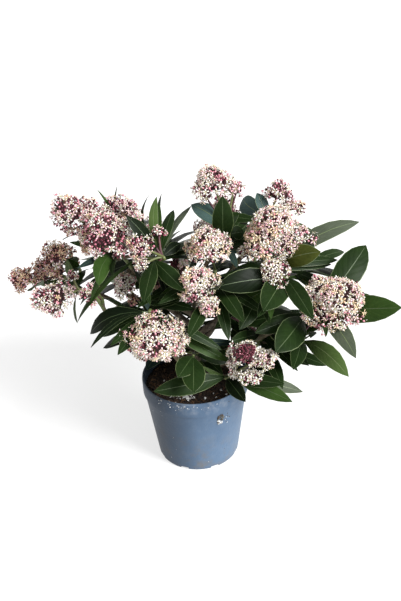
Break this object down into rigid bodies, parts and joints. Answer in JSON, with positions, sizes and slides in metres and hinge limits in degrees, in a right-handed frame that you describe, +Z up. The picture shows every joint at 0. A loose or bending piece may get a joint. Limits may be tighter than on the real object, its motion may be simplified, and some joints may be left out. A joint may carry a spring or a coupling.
{
  "type": "potted flowering shrub",
  "caption": "Evergreen flowering shrub in a round nursery pot: short leaning trunk, rising boughs, whorls of long glossy leaves and domed heads of small pale flowers.",
  "frame": {"origin": "middle of the pot's flat underside", "axes": "+Z up, the pot's own axis; +X along the crown's widest reach, to the right as seen in the picture; the picture looks along +Y from the front and above"},
  "size_m": [0.454, 0.2857, 0.3605],
  "materials": {
    "pot": "blue-grey moulded plastic",
    "compost": "dark fibrous compost",
    "bark": "brown-grey young bark",
    "foliage": "glossy green leaves with cream flower heads"
  },
  "bodies": {
    "root": {"pot": "pot", "compost": "compost", "trunk": "bark", "bough_front_right": "bark", "bough_front_left": "bark", "bough_far_left": "bark", "bough_right": "bark", "bough_back_centre": "bark", "bough_left": "bark", "bough_back_right": "bark", "bough_back_left": "bark", "bough_right_centre": "bark", "bough_left_top": "bark", "bough_centre": "bark", "bough_left_centre": "bark", "bough_right_top": "bark", "foliage_far_left": "foliage", "foliage_left": "foliage", "foliage_left_top": "foliage", "foliage_left_centre": "foliage", "foliage_inner_left": "foliage", "foliage_front_left": "foliage", "foliage_centre": "foliage", "foliage_top": "foliage", "foliage_right_top": "foliage", "foliage_right_centre": "foliage", "foliage_right": "foliage", "foliage_low_right": "foliage", "foliage_front_right": "foliage", "foliage_front_middle": "foliage", "foliage_back_left": "foliage", "foliage_back_centre": "foliage", "foliage_back_right": "foliage", "foliage_back_low": "foliage"}
  },
  "joints": []
}
